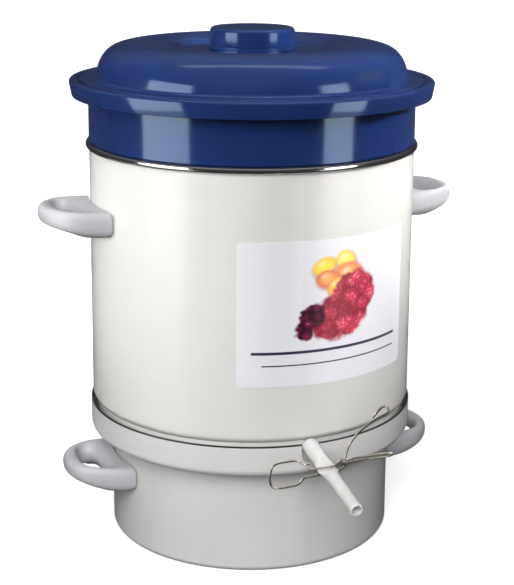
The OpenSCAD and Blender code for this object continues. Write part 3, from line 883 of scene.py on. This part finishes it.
nodes = frame["nodes"]
steel_nodes = [n for n in nodes
               if "kettle_bracket" in n or "screw" in n or n in ("juice_spout", "knob_washer")]
dress([kettle, chimney],
      enamel("enamel_gloss", (0.64, 0.635, 0.61), (0.67, 0.665, 0.645), 0.16))
dress([pan], enamel("enamel_satin", (0.60, 0.59, 0.585), (0.63, 0.625, 0.615), 0.40))
# The pan's second material: a dark edge trim, and painted shade of the gap inside the collar
pan.data.materials.append(trim_and_gap_shade_enamel())
dress([basket, lid, knob], blue_plastic())
dress(kettle_handles + pan_handles, grey_plastic())
dress([rim], chrome())
dress([nodes[n] for n in steel_nodes],
      brushed("steel_brushed", (0.46, 0.46, 0.455), (0.60, 0.60, 0.59)))
# The pan's brackets are near black: painted shade in the gap between the pan and its handles
dress([nodes["pan_bracket_left"], nodes["pan_bracket_right"]],
      brushed("steel_dark_painted_shade", (0.05, 0.05, 0.055), (0.09, 0.09, 0.095)))
dress([clamp_frame, clamp_lever, clamp_pin], spring_wire())
dress([hose], silicone())
dress([label], label_film())

# ---------------------------------------------------------------- what rides on what
RIDES = [
    (pan, "pan", ["water_pan"]), (pan_handles[0], "pan", ["pan_handle_right"]),
    (pan_handles[1], "pan", ["pan_handle_left"]), (kettle, "kettle", ["juice_kettle"]),
    (rim, "kettle", ["kettle_rim_ring"]), (chimney, "kettle", ["steam_chimney"]),
    (kettle_handles[0], "kettle", ["kettle_handle_right"]),
    (kettle_handles[1], "kettle", ["kettle_handle_left"]), (label, "kettle", ["label"]),
    (hose, "kettle", ["juice_hose"]), (clamp_frame, "kettle", ["clamp_frame"]),
    (clamp_lever, "clamp", ["clamp_lever"]), (basket, "basket", ["fruit_basket"]),
    (lid, "lid", ["lid_shell"]), (knob, "lid", ["lid_knob"]),
]
for piece, body, replaced in RIDES:
    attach(piece, body)
    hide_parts(*replaced)


# ---------------------------------------------------------------- floor and light
def camera_only(piece, material):
    """Scenery that the camera sees and that neither blocks nor bounces light."""
    piece.data.materials.append(material)
    piece.visible_diffuse = False
    piece.visible_glossy = False
    piece.visible_shadow = False


def pale(name, glow):
    """Matt near-white that gives a little light of its own."""
    s = Shader(name)
    s.set(Base_Color=s.mix(s.noise(0.4, 2), (0.92, 0.92, 0.92), (0.94, 0.94, 0.94)), Roughness=0.9,
          Emission_Color=(1, 1, 1, 1), Emission_Strength=glow)
    return s.material


def make_floor():
    """Wide pale floor with a white wall far round it."""
    half, n, sink = 14000, 28, 0.05
    points = [(-half + 2 * half * i / n, -half + 2 * half * j / n, -sink)
              for i in range(n + 1) for j in range(n + 1)]
    faces = [[i * (n + 1) + j, (i + 1) * (n + 1) + j, (i + 1) * (n + 1) + j + 1, i * (n + 1) + j + 1]
             for i in range(n) for j in range(n)]
    camera_only(new_object("floor", points, faces), pale("floor_pale", 0.50))
    near, far, foot, top = 13500, 13520, -1, 9000
    wall = lathe("backdrop", [(near, foot), (near, top), (far, top), (far, foot)], 96)
    camera_only(wall, pale("wall_pale", 0.95))


def area_light(name, place, facing, width, height, power):
    """Rectangular lamp that looks along a direction."""
    data = bpy.data.lights.new(name, "AREA")
    data.shape = "RECTANGLE"
    data.size, data.size_y = width, height
    data.energy = power
    light = bpy.data.objects.new(name, data)
    bpy.context.scene.collection.objects.link(light)
    light.location = place
    light.rotation_euler = Vector(facing).to_track_quat("-Z", "Y").to_euler()
    light.visible_camera = False
    return light


def softbox(name, place, facing, width, low, high, radiance):
    """Upright soft lamp that is seen in gloss only, from one height to another."""
    height = high - low
    power = radiance * math.pi * width * height
    light = area_light(name, (*place, (low + high) / 2), (*facing, 0), width, height, power)
    light.visible_diffuse = False


def make_world():
    """Soft sky, bright overhead and dim at the horizon and below it."""
    world = bpy.data.worlds.new("studio")
    world.use_nodes = True
    tree = world.node_tree
    place = tree.nodes.new("ShaderNodeTexCoord")
    split = tree.nodes.new("ShaderNodeSeparateXYZ")
    ramp = tree.nodes.new("ShaderNodeValToRGB")
    tree.links.new(place.outputs["Generated"], split.inputs["Vector"])
    shift = tree.nodes.new("ShaderNodeMapRange")
    shift.inputs["From Min"].default_value = -1
    tree.links.new(split.outputs["Z"], shift.inputs["Value"])
    tree.links.new(shift.outputs["Result"], ramp.inputs["Fac"])
    stops = [(0.0, 0.03), (0.40, 0.05), (0.50, 0.04), (0.62, 0.05), (0.80, 0.17), (1.0, 0.38)]
    while len(ramp.color_ramp.elements) < len(stops):
        ramp.color_ramp.elements.new(0.5)
    for element, (where, level) in zip(ramp.color_ramp.elements, stops):
        element.position = where
        element.color = (level * 0.97, level * 0.985, level, 1)
    tree.links.new(ramp.outputs["Color"], tree.nodes["Background"].inputs["Color"])
    bpy.context.scene.world = world


def soft_sun(name, facing, energy, angle):
    """Soft distant lamp that leaves no highlight of its own."""
    data = bpy.data.lights.new(name, "SUN")
    data.energy, data.angle = energy, math.radians(angle)
    light = bpy.data.objects.new(name, data)
    bpy.context.scene.collection.objects.link(light)
    light.rotation_euler = Vector(facing).to_track_quat("-Z", "Y").to_euler()
    light.visible_glossy = False


def make_light():
    """Suns and narrow fills for the shading; windows and a strip that show only in the gloss."""
    make_world()
    soft_sun("key", (0.12, 0.80, -0.55), 3.52, 50)
    soft_sun("back", (0.05, -0.98, -0.10), 1.5, 30)
    for place, facing, power in (((-1.47, -0.25, 0.52), (0.97, 0.165, -0.105), 0.46),
                                 ((1.43, 0.25, 0.95), (-0.95, -0.166, -0.37), 1.20)):
        fill = area_light("fill", place, facing, 0.4, 0.4, power)
        fill.data.spread = math.radians(16)
        fill.visible_glossy = False
    # Each window has its place on the floor, its direction and its width; its light goes on
    # more faintly below the sill
    left = ((-0.910, -0.589), (0.860, 0.510), 0.679)
    right = ((0.9545, -0.579), (-0.875, 0.484), 0.427)
    foot, sill, head = -0.5, 0.02, 0.80
    softbox("window_left", *left, sill, head, 3.5)
    softbox("window_right", *right, sill, head, 3.3)
    softbox("spill_left", *left, foot, sill, 1.2)
    softbox("spill_right", *right, foot, sill, 1.0)
    strip = area_light("strip", (0.05, -0.1, 2.0), (0, 0, -1), 2.0, 0.35, 2.8)
    strip.visible_diffuse = False


make_floor()
make_light()
view = bpy.context.scene.view_settings
view.view_transform = "Standard"
view.look = "None"
